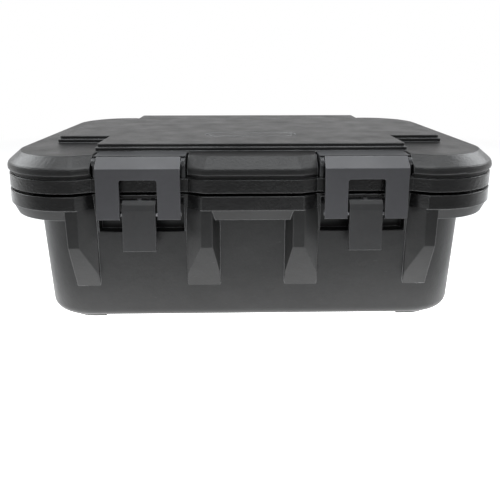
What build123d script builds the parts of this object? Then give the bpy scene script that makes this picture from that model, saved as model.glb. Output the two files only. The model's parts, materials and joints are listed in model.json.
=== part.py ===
"""Top-loading insulated food carrier for one full-size food pan.

A double-walled, foam-filled plastic base with a double-walled lid.  Two draw latches on the front
and two on the rear hang from the lid and catch under the base's rim; with the front pair open, the
rear pair is the lid's hinge, and with all four open the lid lifts away.

Millimetres.  Origin at the middle of the floor plane under the feet, X along the long side,
front at -Y, +Z up.
"""
from build123d import *
from math import atan, cos, pi, radians, sin, tan
import os

# ---------------------------------------------------------------- driving dimensions: the whole
length = 630.0                # along X, over the lid's cap
depth = 430.0                 # along Y, over the lid's cap
height = 227.0                # floor to the stacking plateau
corner_radius = 90.0          # plan radius of the lid's cap
skin = 3.0                    # thickness of every moulded wall
foam_clearance = 0.2          # gap between a foam core and the skins around it
lap = 1.0                     # how far pieces that are joined run into each other
overrun = 5.0                 # how far a cut runs past the face that it opens

# ---------------------------------------------------------------- lid
plateau_rise = 9.0            # stacking plateau over the lid's flat top
plateau_step = 4.5            # height of the plateau's lower tier
plateau_ledge = 2.5           # width of the ledge round the upper tier
plateau_narrow = (388.0, 326.0)   # upper tier, the part that reaches towards front and rear
plateau_wide = (526.0, 190.0)     # upper tier, the part that reaches towards the ends
plateau_radius = 4.0
emblem_size = (127.0, 38.0)   # blank engraved cartouche towards the front of the plateau
emblem_line = 5.0
emblem_depth = 0.8
emblem_front = 82.0           # middle of the cartouche, in front of the middle of the lid
cap_height = 22.0             # cap, from its lower edge to the flat top
cap_edge = 4.5                # upright edge under the cap's bevel
cap_bevel = 16.0              # run of the bevel in plan
cap_shoulder = 8.0            # radius between the upright edge and the bevel
cap_round = 2.4               # rounding of the cap's lower edge
groove_height = 4.5           # shadow groove between cap and lid band
groove_inset = 5.5
lid_band_height = 16.5
band_inset = 1.5              # both bands stand this far inside the cap
band_round = 1.2
plateau_round = 0.8
edge_round = 1.5              # edges of the cap's top, the notches and the columns
parting_gap = 3.5             # between lid band and base band, filled further in by the gasket
plug_depth = 14.0             # how far the lid's plug reaches below the base's rim
plug_clearance = 4.0          # round the plug, so that it clears the rim as the lid swings
plug_round = 5.0

# ---------------------------------------------------------------- base
base_band_height = 17.5
skirt_height = 13.3           # tapering skirt under the base band
skirt_step = 1.5              # small step between band and skirt
skirt_taper = 6.0             # run of the skirt's taper
wall_inset = 26.5             # foot of the wall inside the cap's outline, front and rear
end_inset = 47.0              # foot of the wall inside the cap's outline, at the ends
wall_draft = 3.7              # degrees
bottom_round = 12.0
foot_height = 7.0
foot_inner = (187.5, 118.0)   # inner sides of each foot, from the middle
foot_inset = 3.0              # foot inside the edge of the base's flat bottom
foot_draft = 22.0             # degrees

pan_pocket = (536.0, 331.0)   # upper pocket, which takes a pan's flange and the lid's plug
pan_pocket_depth = 22.0
pan_pocket_radius = 24.0
pan_well = (514.0, 309.0)     # well for the pan's body
pan_well_depth = 109.5        # below the ledge that carries the pan's flange
pan_well_radius = 38.0
pan_well_draft = 1.5          # degrees
well_floor_round = 14.0

gasket_width = 9.0
gasket_inset = 7.0            # outside the edge of the pan pocket
gasket_seat = 0.1             # gap under the gasket with the lid down

plug_hole_radius = 12.0       # foam filling holes, closed by press-in plugs
plug_hole_clearance = 0.05
plug_flange = 2.5
plug_flange_thick = 1.5

# ---------------------------------------------------------------- latch bays and columns
latch_spacing = 270.0         # between the two latches of one side
bay_front_width = 153.0       # latch bay at the front plane
bay_wall_width = 109.0        # latch bay at the wall
bay_pocket_width = 104.0      # pocket behind the latch
bay_pocket_back = 34.0        # back of the pocket, inside the cap's outline
ledge_drop = 48.0             # pocket's ledge below the base's rim
catch_inset = 11.0            # edge of the catch rim, inside the cap's outline
catch_thick = 4.0
catch_width = 94.0            # the catch rim stays behind the bail
catch_root = 2.0              # how far the catch rim runs on behind the pocket
bay_root = 12.0               # how far the bay's plan runs on inside the wall
grip_front_half = 49.0        # centre finger pocket between the centre columns, at the front
grip_wall_half = 40.0
column_outer_half = 224.0     # outer side of the outer columns, at the rim
column_foot_half = 219.0      # and at their feet
column_head = 3.0             # the columns end this far below the base's rim
column_top_drop = 63.5        # where the columns' front faces end, below the base's rim
column_foot_drop = 120.0      # where the columns' sloping faces meet the wall, below the rim

end_grip_width = 150.0        # hand grips moulded into both ends
end_grip_height = 44.0
end_grip_depth = 10.0
end_grip_lip = 12.0           # how far the scoop's section runs on outside the wall
end_grip_fall = 6.0           # fall of the scoop's floor, towards the outside
end_grip_round = 3.0
ledge_round = 1.0             # front edge of the ledge behind each latch
mouth_round = 2.0             # edge of the pan pocket

recess_front_width = 154.6    # rim recess round each latch, at the front plane
recess_back_width = 115.0     # and at its back; the notch for the latch is as wide
recess_depth = 9.0
recess_round = 12.0
notch_back = 47.0             # back of the notch, inside the cap's outline
notch_radius = 8.0

# ---------------------------------------------------------------- latches
pivot_inset = 13.0            # bail pivot, inside the cap's outline
pivot_drop = 7.0              # bail pivot, below the lid's flat top
pin_radius = 2.0
running_clearance = 0.05      # radial, where a part turns on a pin
fixed_clearance = 0.02        # radial, where a pin is held
bracket_width = 109.0
bracket_round = 7.0
bracket_relief = 7.7          # radius of the hollow that the bail's barrel turns in
ear_width = 4.0
ear_radius = 5.0
bracket_lip = 4.0             # bracket's top edge behind the pivot
bail_width = 99.0
bail_thick = 4.0
barrel_radius = 5.5
bail_bevel = (12.0, 12.7)     # run and drop of the bail's bevel
bail_heel = (1.2, 3.0)        # back of the bail's shoulder: below the lid's top, below the pivot
window_width = 44.4
window_drop = 26.0            # top of the window below the lid's flat top
window_round = 3.0
lever_width = 39.6
lever_pivot_inset = 5.0       # lever pivot, inside the cap's outline
boss_radius = 5.0
lever_reach = 44.5            # below the lever's pivot
lever_head = 17.4             # above the lever's pivot
lever_thick = 4.6
lever_bend = 6.0              # the lever's face leans back from this far above its pivot
lever_crown = ((2.4, 5.0), (4.8, 1.0), (6.4, 0.0))   # behind the front plane, below the top
lever_neck = ((2.5, 7.0), (4.6, 0.0))   # behind and above the pivot
lever_root = 8.0              # below the pivot, where the tab reaches its own thickness
nose_height = 4.5
nose_chamfer = 1.0
nose_gap = 0.6                # lever's nose short of the catch rim
nose_drop = 1.1               # and below its underside
nub_radius = 2.4
nub_rise = 1.2
lever_pin_end = 0.7           # the lever's pin stands out this far at each side of the bail
bail_pin_end = 0.5            # the bail's pin ends this far inside each ear
latch_round = 0.7             # edges of the bail, lever and bracket
foot_round = 1.0

# ---------------------------------------------------------------- levels
lid_top = height - plateau_rise
cap_bottom = lid_top - cap_height
lid_band_top = cap_bottom - groove_height
lid_band_bottom = lid_band_top - lid_band_height
rim_top = lid_band_bottom - parting_gap
base_band_bottom = rim_top - base_band_height
skirt_bottom = base_band_bottom - skirt_height
ledge_level = rim_top - ledge_drop
pan_ledge = rim_top - pan_pocket_depth
well_floor = pan_ledge - pan_well_depth
plug_bottom = rim_top - plug_depth

front = -depth / 2
latch_x = latch_spacing / 2
wall_size = (length - 2 * end_inset, depth - 2 * wall_inset)
wall_radius = corner_radius - wall_inset
recess_slope = 2 * recess_depth / (recess_front_width - recess_back_width)
pivot_y = front + pivot_inset
pivot_z = lid_top - pivot_drop
lever_y = front + lever_pivot_inset
lever_z = rim_top - catch_thick - nose_drop - lever_head
bail_foot = lever_z - boss_radius


# ---------------------------------------------------------------- small helpers
def prism(sketch, low, high):
    """A flat outline raised from one level to another."""
    return extrude(Pos(0, 0, low) * sketch, high - low)


def tapered(sketch, level, amount, taper):
    """A flat outline drawn in by a taper in degrees, up or down from a level."""
    direction = (0, 0, 1) if amount > 0 else (0, 0, -1)
    return extrude(Pos(0, 0, level) * sketch, abs(amount), dir=direction, taper=taper)


def outline(points):
    """A face from a list of plan corners."""
    return make_face(Polyline(*points, close=True))


def both_sides(shape):
    """A front piece together with its copy on the rear."""
    return shape + mirror(shape, about=Plane.XZ)


def at_latches(shape):
    """A piece drawn on X = 0 at the front, at all four latch places."""
    pair = Pos(latch_x, 0, 0) * shape + Pos(-latch_x, 0, 0) * shape
    return both_sides(pair)


def section(points):
    """A face on the plane X = 0 from (y, z) corners."""
    return make_face(Polyline(*[(0, y, z) for y, z in points], close=True))


def along_x(face, width):
    """A section thickened evenly to both sides of X = 0."""
    return extrude(face, width / 2, dir=(1, 0, 0), both=True)


def rod(y, z, radius, width):
    """A round bar along X, centred on X = 0."""
    return Pos(0, y, z) * Rot(0, 90, 0) * Cylinder(radius, width)


# ---------------------------------------------------------------- outlines in plan
def rim_rectangle(inset):
    """The cap's rounded rectangle, drawn in by an inset."""
    return RectangleRounded(length - 2 * inset, depth - 2 * inset, corner_radius - inset)


def rim_recess(inset):
    """The shallow recess round each latch, as it is on an outline drawn in by an inset."""
    angle = atan(recess_slope)
    mouth = recess_front_width / 2 + inset * (1 / cos(angle) - 1) / recess_slope
    back_y = front + inset / cos(angle) + recess_depth
    back = recess_back_width / 2
    shape = outline([(-mouth, front - overrun), (mouth, front - overrun), (mouth, front + inset),
                     (back, back_y), (-back, back_y), (-mouth, front + inset)])
    return at_latches(shape)


def rim_outline(inset):
    """The cap's outline with its recesses, their mouths rounded, drawn in by an inset."""
    shape = rim_rectangle(inset) - rim_recess(inset)
    mouths = [corner for corner in shape.vertices() if abs(abs(corner.Y) + front + inset) < 0.01
              and abs(corner.X) < length / 2 - corner_radius - lap]
    return fillet(mouths, recess_round)


def plateau_outline(inset):
    """Cross-shaped plateau, drawn in by an inset from its upper tier."""
    arms = [RectangleRounded(size[0] - 2 * inset, size[1] - 2 * inset, plateau_radius)
            for size in (plateau_narrow, plateau_wide)]
    return arms[0] + arms[1]


def pan_rectangle(size, radius, inset=0.0):
    return RectangleRounded(size[0] - 2 * inset, size[1] - 2 * inset, radius - inset)


# ---------------------------------------------------------------- base
def wall_face(level):
    """The front wall's Y at a level."""
    return front + wall_inset - (level - foot_height) * tan(radians(wall_draft))


def wall_block(inset):
    """The tapering body of the base, drawn in by an inset."""
    low = foot_height + inset
    plan = RectangleRounded(wall_size[0] - 2 * inset, wall_size[1] - 2 * inset,
                            wall_radius - inset)
    block = tapered(plan, low, rim_top - inset - low, -wall_draft)
    return fillet(block.faces().sort_by(Axis.Z)[0].edges(), bottom_round - inset)


def bay_outline(grow=0.0):
    """Plan of a latch bay, from beyond the front plane to the wall."""
    mouth = bay_front_width / 2 + grow
    back = bay_wall_width / 2 + grow
    wall_y = wall_face(skirt_bottom)
    far = mouth + overrun * (mouth - back) / (wall_y - front)
    deep_y = wall_y + bay_root
    return outline([(-far, front - overrun), (far, front - overrun), (back, wall_y),
                    (back, deep_y), (-back, deep_y), (-back, wall_y)])


def bay_pocket(grow=0.0):
    """The deeper pocket behind a latch, between its ledge and the catch rim."""
    back_y = front + bay_pocket_back + grow
    half = bay_pocket_width / 2 + grow
    face_y = front + overrun
    plan = outline([(-half, face_y), (half, face_y), (half, back_y), (-half, back_y)])
    return at_latches(prism(plan, ledge_level - grow, rim_top - catch_thick + grow))


def columns():
    """The four columns under the front rim, left between the latch bays and the finger pocket."""
    top = rim_top - column_head
    low = rim_top - column_foot_drop
    face_y = front + band_inset + skirt_step
    back_y = front + wall_inset + overrun
    foot_y = wall_face(low)
    side = section([(face_y, top), (face_y, rim_top - column_top_drop), (foot_y, low),
                    (back_y, low), (back_y, top)])
    face = make_face(Polyline((-column_outer_half, 0, top), (column_outer_half, 0, top),
                              (column_foot_half, 0, low), (-column_foot_half, 0, low), close=True))
    wall_y = wall_face(skirt_bottom)
    grip = outline([(-grip_front_half, face_y - lap), (grip_front_half, face_y - lap),
                    (grip_wall_half, wall_y), (grip_wall_half, back_y),
                    (-grip_wall_half, back_y), (-grip_wall_half, wall_y)])
    block = along_x(side, length) & extrude(face, depth, dir=(0, 1, 0), both=True)
    block -= prism(grip, 0, base_band_bottom)
    block -= at_latches(prism(bay_outline(), 0, height))
    edges = [edge for edge in block.edges() if edge.center().Y < foot_y - lap]
    return fillet(edges, edge_round)


def skirt():
    """The tapering skirt under the base's band."""
    taper = pi / 2 - atan(skirt_height / skirt_taper)
    plan = rim_rectangle(band_inset + skirt_step)
    return tapered(plan, base_band_bottom, -skirt_height, taper * 180 / pi)


def catch_rim():
    """The part of the rim over each bay that the lever's nose catches under."""
    half = catch_width / 2
    root_y = front + bay_pocket_back + catch_root
    plan = outline([(-half, front + catch_inset), (half, front + catch_inset), (half, root_y),
                    (-half, root_y)])
    return at_latches(prism(plan, rim_top - catch_thick, rim_top))


def end_grips(grow=0.0):
    """Hand grips scooped out of both end walls, under the skirt."""
    top = skirt_bottom + grow
    wall_x = length / 2 - end_inset + front + wall_inset - wall_face(skirt_bottom)
    deep_x = wall_x - end_grip_depth - grow
    low = skirt_bottom - end_grip_height - grow
    out_x = wall_x + end_grip_lip
    face = make_face(Polyline((out_x, 0, low - end_grip_fall), (out_x, 0, top), (deep_x, 0, top),
                              (deep_x, 0, low + end_grip_depth), (wall_x, 0, low), close=True))
    scoop = extrude(face, end_grip_width / 2 + grow, dir=(0, 1, 0), both=True)
    scoop = fillet(scoop.faces().sort_by(Axis.X)[0].edges().filter_by(Axis.Z), end_grip_round)
    return scoop + mirror(scoop, about=Plane.YZ)


def pan_space(grow=0.0):
    """The food cavity: a shallow pocket over a deeper well, larger all round by a growth."""
    top = rim_top + lap
    pocket = prism(pan_rectangle(pan_pocket, pan_pocket_radius, -grow), pan_ledge - grow, top)
    well = tapered(pan_rectangle(pan_well, pan_well_radius, -grow), pan_ledge + lap,
                   -(pan_well_depth + lap + grow), pan_well_draft)
    well = fillet(well.faces().sort_by(Axis.Z)[0].edges(), well_floor_round + grow)
    return pocket + well


def base_foam_space(wall):
    """The space between the base's outer and inner skins, inside walls of a thickness."""
    rim = prism(rim_rectangle(band_inset + wall), base_band_bottom + wall, rim_top - wall)
    rim -= at_latches(prism(bay_outline(wall), 0, height))
    space = wall_block(wall) + rim
    space -= bay_pocket(wall)
    space -= end_grips(wall)
    return space - pan_space(wall)


def base_band():
    """The upright band round the base's rim, open at the latch bays."""
    bays = at_latches(prism(bay_outline(), 0, height))
    band = prism(rim_rectangle(band_inset), base_band_bottom, rim_top) - bays
    return fillet(band.edges(), band_round)


def base_shell():
    bays = at_latches(prism(bay_outline(), 0, height))
    form = wall_block(0) + base_band() + (skirt() - bays) + both_sides(columns())
    form -= bay_pocket()
    ledge_y = wall_face(ledge_level)
    ledge = [edge for edge in form.edges().filter_by(Axis.X)
             if abs(edge.center().Z - ledge_level) < 0.1 and abs(abs(edge.center().Y) + ledge_y) < 1]
    form = fillet(ledge, ledge_round)
    form += catch_rim()
    form -= end_grips()
    form -= pan_space()
    mouth = [edge for edge in form.edges()
             if edge.center().Z > rim_top - 0.1 and abs(edge.center().X) < pan_pocket[0] / 2 + lap
             and abs(edge.center().Y) < pan_pocket[1] / 2 + lap]
    form = fillet(mouth, mouth_round)
    form -= base_foam_space(skin)
    return form - Pos(0, 0, foot_height) * Cylinder(plug_hole_radius, 3 * skin)


def base_foam_core():
    return base_foam_space(skin + foam_clearance)


def fill_plug():
    """Press-in plug for a foam filling hole, its flange at Z = 0 and its shank upwards."""
    shank = Cylinder(plug_hole_radius - plug_hole_clearance, skin,
                     align=(Align.CENTER, Align.CENTER, Align.MIN))
    flange = Pos(0, 0, -plug_flange_thick) * Cylinder(plug_hole_radius + plug_flange,
                                                      plug_flange_thick,
                                                      align=(Align.CENTER, Align.CENTER, Align.MIN))
    return shank + flange


def foot(side_x, side_y):
    """One corner foot, following the corner of the base's flat bottom."""
    inset = bottom_round + foot_inset
    corner = RectangleRounded(wall_size[0] - 2 * inset, wall_size[1] - 2 * inset,
                              wall_radius - inset)
    span = (length, depth)
    middle = [side * (inner + size / 2)
              for side, inner, size in zip((side_x, side_y), foot_inner, span)]
    plan = corner & Pos(*middle) * Rectangle(*span)
    block = tapered(plan, foot_height, -foot_height, foot_draft)
    return fillet(block.faces().sort_by(Axis.Z)[0].edges(), foot_round)


# ---------------------------------------------------------------- lid
def notch(grow=0.0):
    """The notch in the lid's cap that a latch sits in."""
    half = recess_back_width / 2 + grow
    back_y = front + notch_back + grow
    open_y = front - overrun
    plan = outline([(-half, open_y), (half, open_y), (half, back_y), (-half, back_y)])
    block = prism(plan, lid_band_top - grow, height)
    back_edges = block.edges().filter_by(Axis.Z).group_by(Axis.Y)[-1]
    return at_latches(fillet(back_edges, notch_radius))


def lid_cap():
    """The bevelled cap, with its notches, over the shadow groove."""
    edge = prism(rim_outline(0), cap_bottom, cap_bottom + cap_edge)
    edge = fillet(edge.faces().sort_by(Axis.Z)[0].edges(), cap_round)
    steps = [(cap_shoulder * (1 - cos(radians(turn))), cap_shoulder * sin(radians(turn)))
             for turn in (0, 15, 30, 45)]
    levels = [Pos(0, 0, cap_bottom + cap_edge + rise) * rim_outline(inset) for inset, rise in steps]
    levels.append(Pos(0, 0, lid_top) * rim_outline(cap_bevel))
    cap = edge + loft(levels, ruled=True) - notch()
    top = [edge for edge in cap.edges() if edge.center().Z > lid_top - 0.1]
    return fillet(top, edge_round)


def lid_foam_space(wall):
    """The space inside the lid, inside walls of a thickness."""
    plug = pan_rectangle(pan_pocket, pan_pocket_radius, plug_clearance + wall)
    space = prism(plug, plug_bottom + wall, lid_top - wall)
    space += prism(rim_outline(groove_inset + wall), lid_band_bottom + wall,
                   cap_bottom + cap_edge - wall)
    space += prism(rim_outline(cap_bevel + wall), lid_band_bottom + wall, lid_top - wall)
    space += prism(plateau_outline(wall), lid_top - wall - lap, height - wall)
    return space - notch(wall)


def emblem():
    """The engraved outline of the blank cartouche."""
    outer = SlotOverall(*emblem_size)
    inner = SlotOverall(emblem_size[0] - 2 * emblem_line, emblem_size[1] - 2 * emblem_line)
    return prism(Pos(0, -emblem_front) * (outer - inner), height - emblem_depth, height + lap)


def lid_shell():
    band = prism(rim_outline(band_inset), lid_band_bottom, lid_band_top)
    band = fillet(band.faces().sort_by(Axis.Z)[0].edges(), band_round)
    band = fillet(band.faces().sort_by(Axis.Z)[-1].edges(), band_round)
    groove = prism(rim_outline(groove_inset), lid_band_top - lap, cap_bottom + lap)
    plug = prism(pan_rectangle(pan_pocket, pan_pocket_radius, plug_clearance),
                 plug_bottom, lid_band_bottom + lap)
    plug = fillet(plug.faces().sort_by(Axis.Z)[0].edges(), plug_round)
    form = band + groove + lid_cap() + plug
    for grow, top in ((plateau_ledge, lid_top + plateau_step), (0, height)):
        tier = prism(plateau_outline(-grow), lid_top - lap, top)
        form += fillet(tier.faces().sort_by(Axis.Z)[-1].edges(), plateau_round)
    form -= emblem()
    form -= notch()
    form -= lid_foam_space(skin)
    return form - Pos(0, 0, plug_bottom) * Cylinder(plug_hole_radius, 3 * skin)


def lid_foam_core():
    return lid_foam_space(skin + foam_clearance)


def lid_gasket():
    """Flat rubber ring under the lid, which seals on the base's rim."""
    outer = pan_rectangle(pan_pocket, pan_pocket_radius, -gasket_inset - gasket_width)
    inner = pan_rectangle(pan_pocket, pan_pocket_radius, -gasket_inset)
    return prism(outer - inner, rim_top + gasket_seat, lid_band_bottom)


# ---------------------------------------------------------------- latch, drawn on X = 0 at the front
def latch_bracket():
    """Block in the back of the notch, with an ear at each end that holds the bail's pin."""
    back_y = front + notch_back
    plan = outline([(-bracket_width / 2, pivot_y), (bracket_width / 2, pivot_y),
                    (bracket_width / 2, back_y), (-bracket_width / 2, back_y)])
    block = prism(plan, lid_band_top, lid_top)
    block = fillet(block.edges().filter_by(Axis.Z).group_by(Axis.Y)[-1], bracket_round)
    barrel_room = bracket_width - 2 * ear_width
    block -= rod(pivot_y, pivot_z, bracket_relief, barrel_room)
    open_y = pivot_y - lap
    relief_y = pivot_y + bracket_relief
    low = lid_band_top - lap
    under = section([(open_y, low), (relief_y, low), (relief_y, pivot_z), (open_y, pivot_z)])
    block -= along_x(under, barrel_room)
    over = section([(open_y, pivot_z), (relief_y, pivot_z), (pivot_y + bracket_lip, lid_top + lap),
                    (open_y, lid_top + lap)])
    block -= along_x(over, bracket_width + lap)
    top = [edge for edge in block.edges() if edge.center().Z > lid_top - 0.1]
    block = fillet(top, latch_round)
    block += (rod(pivot_y, pivot_z, ear_radius, bracket_width)
              - rod(pivot_y, pivot_z, ear_radius + lap, barrel_room))
    return block - rod(pivot_y, pivot_z, pin_radius + fixed_clearance, 2 * bracket_width)


def bail_section():
    """The bail's side view: a bevelled shoulder over a flat plate."""
    run, drop = bail_bevel
    shoulder = lid_top - drop
    inner = front + bail_thick
    return section([(front + run, lid_top), (front, shoulder), (front, bail_foot), (inner, bail_foot),
                    (inner, shoulder - bail_thick / 2), (pivot_y, pivot_z - bail_heel[1]),
                    (pivot_y, lid_top - bail_heel[0])])


def latch_bail():
    """The wide plate that swings from the lid, with a window for the lever."""
    body = along_x(bail_section(), bail_width) + rod(pivot_y, pivot_z, barrel_radius, bail_width)
    body += rod(lever_y, lever_z, boss_radius, bail_width)
    window_top = lid_top - window_drop
    window_low = bail_foot - lap
    window = Box(window_width, 4 * boss_radius, window_top - window_low)
    window = fillet(window.edges().filter_by(Axis.Y).group_by(Axis.Z)[-1], window_round)
    body -= Pos(0, lever_y, (window_top + window_low) / 2) * window
    face = [edge for edge in body.edges() if edge.center().Y < front + 0.1]
    body = fillet(face, latch_round)
    body -= rod(pivot_y, pivot_z, pin_radius + running_clearance, 2 * bail_width)
    return body - rod(lever_y, lever_z, pin_radius + fixed_clearance, 2 * bail_width)


def latch_lever():
    """The finger tab in the bail's window, with a nose over its pivot for the catch rim."""
    tip = front + catch_inset - nose_gap
    top = lever_z + lever_head
    low = lever_z - lever_reach
    crown = [(front + back, top - drop) for back, drop in lever_crown]
    nose = [(tip - nose_chamfer, top), (tip, top - nose_chamfer), (tip, top - nose_height)]
    neck = [(lever_y + back, lever_z + rise) for back, rise in lever_neck]
    inner = front + lever_thick
    side = section([(front, low), (front, lever_z + lever_bend), *crown, *nose, *neck,
                    (inner, lever_z - lever_root), (inner, low)])
    body = along_x(side, lever_width) + rod(lever_y, lever_z, boss_radius, lever_width)
    face = [edge for edge in body.edges() if edge.center().Y < front + lever_thick / 2]
    body = fillet(face, latch_round)
    body += Pos(0, (crown[-1][0] + tip) / 2, top) * Cylinder(nub_radius, 2 * nub_rise)
    return body - rod(lever_y, lever_z, pin_radius + running_clearance, 2 * lever_width)


def bail_pin():
    return rod(pivot_y, pivot_z, pin_radius, bracket_width - 2 * bail_pin_end)


def lever_pin():
    return rod(lever_y, lever_z, pin_radius, bail_width + 2 * lever_pin_end)


# ---------------------------------------------------------------- all pieces
def all_pieces():
    pieces = {
        "base_shell": base_shell(),
        "base_foam_core": base_foam_core(),
        "base_fill_plug": Pos(0, 0, foot_height) * fill_plug(),
        "lid_shell": lid_shell(),
        "lid_foam_core": lid_foam_core(),
        "lid_fill_plug": Pos(0, 0, plug_bottom) * fill_plug(),
        "lid_gasket": lid_gasket(),
    }
    latch = {"hinge_bracket": latch_bracket(), "bail": latch_bail(), "lever": latch_lever(),
             "bail_pin": bail_pin(), "lever_pin": lever_pin()}
    for end, turn in (("front", 0), ("rear", 180)):
        for side, place in (("left", -1), ("right", 1)):
            offset = place * latch_x if end == "front" else -place * latch_x
            for name, piece in latch.items():
                pieces[f"{end}_{side}_{name}"] = Rot(0, 0, turn) * Pos(offset, 0, 0) * piece
            pieces[f"{end}_{side}_foot"] = foot(place, -1 if end == "front" else 1)
    return pieces


def main():
    os.makedirs("parts", exist_ok=True)
    for name, piece in all_pieces().items():
        export_step(piece, f"parts/{name}.step")


main()
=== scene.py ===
"""Looks for the insulated food carrier: procedural plastics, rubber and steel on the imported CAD
pieces, a pale floor, soft studio light and the camera."""
import json
import math

import bpy
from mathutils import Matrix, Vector


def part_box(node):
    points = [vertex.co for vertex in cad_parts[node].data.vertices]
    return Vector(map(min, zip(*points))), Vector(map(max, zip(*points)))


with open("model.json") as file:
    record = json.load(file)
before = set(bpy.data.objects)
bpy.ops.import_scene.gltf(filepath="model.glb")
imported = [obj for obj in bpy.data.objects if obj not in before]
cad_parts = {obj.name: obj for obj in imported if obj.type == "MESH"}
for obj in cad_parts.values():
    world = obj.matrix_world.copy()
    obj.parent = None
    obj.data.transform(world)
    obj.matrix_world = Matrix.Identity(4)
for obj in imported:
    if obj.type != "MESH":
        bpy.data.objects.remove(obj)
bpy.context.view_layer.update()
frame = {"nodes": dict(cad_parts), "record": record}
nodes = frame["nodes"]

# ---------------------------------------------------------------- colours (linear)
SHELL_BLACK = (0.0060, 0.0060, 0.0061)
SHELL_CLOUD = (0.0110, 0.0110, 0.0112)
# pale scuff colour for scratches, also laid on the edges as a painted highlight
SCUFF_AND_EDGE_HIGHLIGHT = (0.26, 0.265, 0.27)
LATCH_GREY = (0.046, 0.046, 0.050)
LATCH_CLOUD = (0.054, 0.054, 0.059)
LEVER_GREY = (0.022, 0.022, 0.023)
LEVER_CLOUD = (0.030, 0.030, 0.031)
BRACKET_GREY = (0.034, 0.035, 0.037)
BRACKET_CLOUD = (0.042, 0.043, 0.045)
RUBBER_BLACK = (0.012, 0.014, 0.013)
RUBBER_DUST_AND_HIGHLIGHT = (0.040, 0.045, 0.040)
STEEL = (0.30, 0.30, 0.31)
FOAM = (0.72, 0.60, 0.34)
FOAM_SHADE = (0.55, 0.43, 0.22)
FLOOR_WHITE = (0.82, 0.82, 0.82)
FLOOR_CLOUD = (0.84, 0.84, 0.84)
BACKDROP_WHITE = (1.0, 1.0, 1.0)
ROOM_GREY = (0.36, 0.36, 0.36)
BACKDROP_HIGH = (0.48, 0.48, 0.485)
LIGHT_TINT = (0.96, 0.985, 1.0)

# ---------------------------------------------------------------- surfaces and light
SHELL_IOR = 1.41
NYLON_IOR = 1.44
SHELL_EDGE = 0.0013           # radius that the shader gives the edges of the shells
SMALL_EDGE = 0.0008           # and of the smaller pieces
BAND_HEIGHT = 0.0175          # glossy band at the top of the base
GLOSS = 0.17                  # how far the glossy bands' roughness lies below the satin
TOP_RADIANCE = 4.3
SIDE_RADIANCE = 6.0
PAPER_HALF = 12.0             # half the side of the floor's paper
PAINTED_GLOW_STRENGTH = 2.2              # painted glow: the paper itself emits light next to the object
GLOW_DEPTH = 0.22            # how far that painted glow reaches in front of the base and behind it
GLOW_SIDES = (0.22, 0.50)    # where it starts to fade along X, and where it has gone
FADE_START = 0.49             # where the paper starts to fade into its painted glow in front, from the middle
FADE_START_BACK = 0.30        # how much further out that is at the back
FADE_WIDTH = 0.30             # how far the fade takes in front
FADE_WIDTH_BACK = 0.60        # how much further it takes at the back

# ---------------------------------------------------------------- levels read from the frame
base_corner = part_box("base_shell")[1]
rim_top = base_corner.z
band_bottom = rim_top - BAND_HEIGHT
groove_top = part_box("front_left_hinge_bracket")[0].z
lid_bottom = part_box("lid_gasket")[1].z


# ---------------------------------------------------------------- node building
def split_vector(nodes, links, vector):
    """The X, Y and Z of a vector."""
    node = nodes.new("ShaderNodeSeparateXYZ")
    links.new(vector, node.inputs["Vector"])
    return node.outputs


def mix_colours(nodes, links, factor, first, second):
    """A colour between two colours, each a plain colour or a socket."""
    node = nodes.new("ShaderNodeMix")
    node.data_type = "RGBA"
    links.new(factor, node.inputs["Factor"])
    for name, colour in (("A", first), ("B", second)):
        socket = [s for s in node.inputs if s.name == name and s.type == "RGBA"][0]
        if isinstance(colour, tuple):
            socket.default_value = (*colour, 1.0)
        else:
            links.new(colour, socket)
    return [s for s in node.outputs if s.type == "RGBA"][0]


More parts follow.
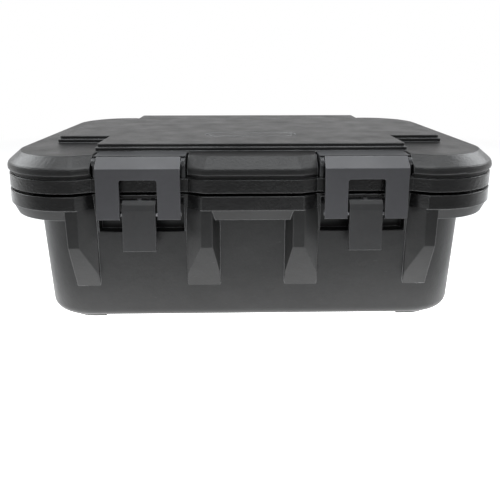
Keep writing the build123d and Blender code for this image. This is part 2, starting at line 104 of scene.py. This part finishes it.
class Tree:
    """A small helper round a material's node tree."""

    def __init__(self, name):
        self.material = bpy.data.materials.new(name)
        self.material.use_nodes = True
        self.nodes = self.material.node_tree.nodes
        self.links = self.material.node_tree.links
        self.shader = self.nodes["Principled BSDF"]
        coordinates = self.nodes.new("ShaderNodeTexCoord")
        self.place = coordinates.outputs["Object"]

    def link(self, source, target):
        self.links.new(source, target)

    def noise(self, scale, detail=4.0, roughness=0.5, stretch=None):
        """Noise in object space; stretch scales each axis."""
        node = self.nodes.new("ShaderNodeTexNoise")
        node.inputs["Scale"].default_value = scale
        node.inputs["Detail"].default_value = detail
        node.inputs["Roughness"].default_value = roughness
        place = self.place
        if stretch:
            mapping = self.nodes.new("ShaderNodeMapping")
            mapping.inputs["Scale"].default_value = stretch
            self.link(place, mapping.inputs["Vector"])
            place = mapping.outputs["Vector"]
        self.link(place, node.inputs["Vector"])
        return node.outputs["Fac"]

    def remap(self, value, low, high, to_low=0.0, to_high=1.0):
        """A value carried from one range to another and held inside it."""
        node = self.nodes.new("ShaderNodeMapRange")
        node.inputs["From Min"].default_value = low
        node.inputs["From Max"].default_value = high
        node.inputs["To Min"].default_value = to_low
        node.inputs["To Max"].default_value = to_high
        self.link(value, node.inputs["Value"])
        return node.outputs["Result"]

    def math(self, operation, first, second):
        """Arithmetic on sockets or plain numbers."""
        node = self.nodes.new("ShaderNodeMath")
        node.operation = operation
        for socket, value in zip(node.inputs, (first, second)):
            if isinstance(value, (int, float)):
                socket.default_value = value
            else:
                self.link(value, socket)
        return node.outputs["Value"]

    def mix(self, factor, first, second):
        return mix_colours(self.nodes, self.links, factor, first, second)

    def split(self, vector):
        return split_vector(self.nodes, self.links, vector)

    def vector_math(self, operation, vector):
        """One-vector arithmetic; gives the node's outputs."""
        node = self.nodes.new("ShaderNodeVectorMath")
        node.operation = operation
        self.link(vector, node.inputs[0])
        return node.outputs

    def edges(self, radius):
        """A mask of the edges, 1 on them and 0 away from them, and the normal that rounds them."""
        bevel = self.nodes.new("ShaderNodeBevel")
        bevel.samples = 6
        bevel.inputs["Radius"].default_value = radius
        geometry = self.nodes.new("ShaderNodeNewGeometry")
        dot = self.nodes.new("ShaderNodeVectorMath")
        dot.operation = "DOT_PRODUCT"
        self.link(bevel.outputs["Normal"], dot.inputs[0])
        self.link(geometry.outputs["Normal"], dot.inputs[1])
        return self.remap(dot.outputs["Value"], 0.995, 0.90), bevel.outputs["Normal"]

    def bumps(self, normal, *layers):
        """Bump nodes in a chain on a normal, each (height, strength, distance)."""
        for value, strength, distance in layers:
            node = self.nodes.new("ShaderNodeBump")
            node.inputs["Strength"].default_value = strength
            node.inputs["Distance"].default_value = distance
            self.link(value, node.inputs["Height"])
            if normal:
                self.link(normal, node.inputs["Normal"])
            normal = node.outputs["Normal"]
        self.link(normal, self.shader.inputs["Normal"])


def moulded(tree, radius, base, cloud):
    """Clouded colour, scratches, and edges lightened partly as rubbed wear and partly as a painted
    highlight; gives that mask and the rounded normal.
    """
    edge, normal = tree.edges(radius)
    haze = tree.noise(11.0, 5.0, 0.6)
    fine = tree.noise(170.0, 3.0, 0.6)
    mottle = tree.math("ADD", tree.math("MULTIPLY", haze, 0.7), tree.math("MULTIPLY", fine, 0.3))
    colour = tree.mix(tree.remap(mottle, 0.38, 0.62), base, cloud)
    scratches = tree.noise(75.0, 5.0, 0.75, stretch=(1.0, 9.0, 9.0))
    rubbed = tree.remap(scratches, 0.66, 0.80, 0.0, 0.35)
    # the edge mask lightens the edges towards the scuff colour: partly rubbed wear, partly a painted
    # highlight
    wear_and_edge_highlight = tree.math("MAXIMUM", rubbed, tree.math("MULTIPLY", edge, tree.remap(haze, 0.35, 0.6, 0.35, 0.9)))
    tree.link(tree.mix(wear_and_edge_highlight, colour, SCUFF_AND_EDGE_HIGHLIGHT), tree.shader.inputs["Base Color"])
    return wear_and_edge_highlight, normal


def shell_plastic(name, glossy_low, glossy_high, peel_strength):
    """Black rotomoulded polyethylene: satin, but glossy on the band between two levels."""
    tree = Tree(name)
    wear_and_edge_highlight, normal = moulded(tree, SHELL_EDGE, SHELL_BLACK, SHELL_CLOUD)
    level = tree.split(tree.place)["Z"]
    above = tree.remap(level, glossy_low - 0.001, glossy_low + 0.001)
    below = tree.remap(level, glossy_high - 0.001, glossy_high + 0.001, 1.0, 0.0)
    band = tree.math("MULTIPLY", above, below)
    blotch = tree.noise(30.0, 4.0, 0.55)
    satin = tree.remap(blotch, 0.3, 0.7, 0.31, 0.41)
    satin = tree.math("SUBTRACT", satin, tree.math("MULTIPLY", band, GLOSS))
    tree.link(tree.math("ADD", satin, tree.math("MULTIPLY", wear_and_edge_highlight, 0.10)), tree.shader.inputs["Roughness"])
    tree.shader.inputs["IOR"].default_value = SHELL_IOR
    wave = tree.noise(28.0, 2.0, 0.4)
    peel = tree.noise(330.0, 3.0, 0.6)
    grain = tree.noise(1900.0, 2.0, 0.5)
    tree.bumps(normal, (wave, 0.30, 0.0030), (peel, peel_strength, 0.0008), (grain, 0.15, 0.0002))
    return tree.material


def nylon(name, colour, cloud, rough_low, rough_high):
    """Injection-moulded nylon with a fine spark-eroded grain and faint flow marks."""
    tree = Tree(name)
    wear_and_edge_highlight, normal = moulded(tree, SMALL_EDGE, colour, cloud)
    grain = tree.noise(2600.0, 2.0, 0.6)
    flow = tree.noise(34.0, 3.0, 0.5, stretch=(1.0, 1.0, 0.4))
    rough = tree.remap(flow, 0.3, 0.7, rough_low, rough_high)
    tree.link(tree.math("ADD", rough, tree.math("MULTIPLY", wear_and_edge_highlight, 0.08)), tree.shader.inputs["Roughness"])
    tree.shader.inputs["IOR"].default_value = NYLON_IOR
    tree.bumps(normal, (flow, 0.10, 0.0012), (grain, 0.25, 0.0002))
    return tree.material


def rubber(name):
    """Matt rubber with a dusty bloom, and its edges lightened to the same colour as a painted highlight."""
    tree = Tree(name)
    edge, normal = tree.edges(SMALL_EDGE)
    bloom = tree.noise(70.0, 6.0, 0.65)
    grain = tree.noise(2200.0, 3.0, 0.6)
    # the noise bloom is dust; the edge mask adds a painted highlight on the edges
    dust_and_edge_highlight = tree.math("MAXIMUM", tree.remap(bloom, 0.42, 0.70), edge)
    tree.link(tree.mix(dust_and_edge_highlight, RUBBER_BLACK, RUBBER_DUST_AND_HIGHLIGHT), tree.shader.inputs["Base Color"])
    tree.link(tree.remap(bloom, 0.3, 0.7, 0.55, 0.78), tree.shader.inputs["Roughness"])
    tree.bumps(normal, (grain, 0.30, 0.0002))
    return tree.material


def drawn_steel():
    """Stainless rod with drawing lines along X."""
    tree = Tree("drawn_steel")
    lines = tree.noise(900.0, 3.0, 0.6, stretch=(0.03, 1.0, 1.0))
    tree.link(tree.mix(lines, (0.22, 0.22, 0.23), STEEL), tree.shader.inputs["Base Color"])
    tree.link(tree.remap(lines, 0.3, 0.7, 0.25, 0.42), tree.shader.inputs["Roughness"])
    tree.shader.inputs["Metallic"].default_value = 1.0
    tree.bumps(None, (lines, 0.1, 0.0001))
    return tree.material


def rigid_foam():
    """Foamed-in polyurethane with fine cells."""
    tree = Tree("rigid_foam")
    cells = tree.nodes.new("ShaderNodeTexVoronoi")
    cells.inputs["Scale"].default_value = 900.0
    tree.link(tree.place, cells.inputs["Vector"])
    cloud = tree.noise(20.0, 4.0, 0.6)
    tree.link(tree.mix(cloud, FOAM, FOAM_SHADE), tree.shader.inputs["Base Color"])
    tree.link(tree.remap(cloud, 0.3, 0.7, 0.8, 0.95), tree.shader.inputs["Roughness"])
    tree.bumps(None, (cells.outputs["Distance"], 0.4, 0.0005))
    return tree.material


MATERIALS = {
    "plug": nylon("cap_plastic", SHELL_BLACK, SHELL_CLOUD, 0.40, 0.52),
    "foam": rigid_foam(),
    "gasket": rubber("gasket_rubber"),
    "foot": rubber("foot_rubber"),
    "bracket": nylon("bracket_nylon", BRACKET_GREY, BRACKET_CLOUD, 0.36, 0.48),
    "bail": nylon("bail_nylon", LATCH_GREY, LATCH_CLOUD, 0.36, 0.46),
    "lever": nylon("lever_nylon", LEVER_GREY, LEVER_CLOUD, 0.34, 0.44),
    "pin": drawn_steel(),
}
SHELLS = {
    "base_shell": shell_plastic("base_plastic", band_bottom, rim_top, 0.22),
    "lid_shell": shell_plastic("lid_plastic", lid_bottom, groove_top, 0.60),
}


def dress(node, material):
    """Gives a CAD node its finished material in every slot."""
    mesh = nodes[node].data
    mesh.materials.clear()
    mesh.materials.append(material)


for part in frame["record"]["subparts"]:
    name = part["node"]
    dress(name, SHELLS.get(name) or MATERIALS[part["material_slot"]])


# ---------------------------------------------------------------- floor, light and camera
def facing_back(nodes, links, backwards):
    """From a direction's Y: 0 for one towards the front, 1 for one towards the back."""
    ramp = nodes.new("ShaderNodeMapRange")
    ramp.interpolation_type = "SMOOTHSTEP"
    ramp.inputs["From Min"].default_value = -0.85
    ramp.inputs["From Max"].default_value = 0.35
    links.new(backwards, ramp.inputs["Value"])
    return ramp.outputs["Result"]


def painted_floor_glow(tree):
    """A painted pool of light: the paper itself glows close to the object."""
    offset = tree.split(tree.vector_math("ABSOLUTE", tree.place)["Vector"])
    beyond = tree.math("SUBTRACT", offset["Y"], base_corner.y)
    ahead = tree.remap(beyond, 0.0, GLOW_DEPTH, 1.0, 0.0)
    beside = tree.remap(offset["X"], *GLOW_SIDES, 1.0, 0.0)
    glow = tree.math("MULTIPLY", tree.math("MULTIPLY", ahead, ahead), tree.math("MULTIPLY", beside, beside))
    return tree.math("MULTIPLY", glow, PAINTED_GLOW_STRENGTH)


def floor():
    """White paper floor whose far part turns into a glow, a painted light of the room: grey from near in
    front, white from further out behind.
    """
    mesh = bpy.data.meshes.new("floor")
    half = PAPER_HALF
    corners = [(-half, -half, 0), (half, -half, 0), (half, half, 0), (-half, half, 0)]
    mesh.from_pydata(corners, [], [(0, 1, 2, 3)])
    plane = bpy.data.objects.new("floor", mesh)
    bpy.context.scene.collection.objects.link(plane)
    tree = Tree("floor_paper")
    fibre = tree.noise(260.0, 4.0, 0.6)
    cloud = tree.noise(3.0, 3.0, 0.5)
    tree.link(tree.mix(cloud, FLOOR_WHITE, FLOOR_CLOUD), tree.shader.inputs["Base Color"])
    tree.link(tree.remap(fibre, 0.3, 0.7, 0.75, 0.85), tree.shader.inputs["Roughness"])
    tree.shader.inputs["Specular IOR Level"].default_value = 0.1
    direction = tree.split(tree.vector_math("NORMALIZE", tree.place)["Vector"])
    side = facing_back(tree.nodes, tree.links, direction["Y"])
    distance = tree.vector_math("LENGTH", tree.place)["Value"]
    near = tree.math("ADD", tree.math("MULTIPLY", side, FADE_START_BACK), FADE_START)
    width = tree.math("ADD", tree.math("MULTIPLY", side, FADE_WIDTH_BACK), FADE_WIDTH)
    fade = tree.math("DIVIDE", tree.math("SUBTRACT", distance, near), width)
    fade = tree.remap(fade, 0.0, 1.0)
    tree.shader.inputs["Emission Color"].default_value = (1.0, 1.0, 1.0, 1.0)
    # the paper emits the painted pool of light next to the object
    tree.link(painted_floor_glow(tree), tree.shader.inputs["Emission Strength"])
    # far out the paper is an emitter: painted room light, grey in front and white behind
    glow = tree.nodes.new("ShaderNodeEmission")
    tree.link(tree.mix(side, ROOM_GREY, BACKDROP_WHITE), glow.inputs["Color"])
    blend = tree.nodes.new("ShaderNodeMixShader")
    tree.link(fade, blend.inputs["Fac"])
    tree.link(tree.shader.outputs["BSDF"], blend.inputs[1])
    tree.link(glow.outputs["Emission"], blend.inputs[2])
    tree.link(blend.outputs["Shader"], tree.nodes["Material Output"].inputs["Surface"])
    mesh.materials.append(tree.material)


def softbox(name, place, size, radiance):
    """A rectangular area light of a given radiance, aimed at the object."""
    light = bpy.data.lights.new(name, "AREA")
    light.shape = "RECTANGLE"
    light.size, light.size_y = size
    light.energy = radiance * math.pi * size[0] * size[1]
    light.color = LIGHT_TINT
    holder = bpy.data.objects.new(name, light)
    holder.location = place
    direction = Vector((0.0, 0.0, 0.1)) - Vector(place)
    holder.rotation_euler = direction.to_track_quat("-Z", "Y").to_euler()
    bpy.context.scene.collection.objects.link(holder)


def studio():
    """White behind the object, a dim room in front of it, and softboxes over it."""
    world = bpy.data.worlds.new("studio")
    bpy.context.scene.world = world
    world.use_nodes = True
    nodes = world.node_tree.nodes
    links = world.node_tree.links
    background = nodes["Background"]
    coordinates = nodes.new("ShaderNodeTexCoord")
    direction = split_vector(nodes, links, coordinates.outputs["Generated"])
    side = facing_back(nodes, links, direction["Y"])
    high = nodes.new("ShaderNodeMapRange")
    high.inputs["From Min"].default_value = 0.12
    high.inputs["From Max"].default_value = 0.32
    links.new(direction["Z"], high.inputs["Value"])
    back = mix_colours(nodes, links, high.outputs["Result"], BACKDROP_WHITE, BACKDROP_HIGH)
    links.new(mix_colours(nodes, links, side, ROOM_GREY, back), background.inputs["Color"])
    background.inputs["Strength"].default_value = 1.0
    softbox("top_light", (0.0, -0.55, 1.4), (1.5, 1.0), TOP_RADIANCE)
    softbox("left_light", (-1.4, 0.35, 1.15), (1.0, 1.0), SIDE_RADIANCE)
    softbox("right_light", (1.4, 0.35, 1.15), (1.0, 1.0), SIDE_RADIANCE)


def camera():
    """The photograph's viewpoint, tilted down so that a smaller shift frames the object."""
    data = bpy.data.cameras.new("camera")
    data.sensor_width = 36.0
    data.lens = 37.49
    data.shift_y = -0.20
    data.clip_end = 50.0
    holder = bpy.data.objects.new("camera", data)
    holder.location = (-0.0156, -0.8085, 0.3327)
    holder.rotation_euler = (math.radians(90 - 10.03), 0.0, math.radians(-1.17))
    bpy.context.scene.collection.objects.link(holder)
    bpy.context.scene.camera = holder


floor()
studio()
camera()
bpy.context.scene.view_settings.view_transform = "Standard"
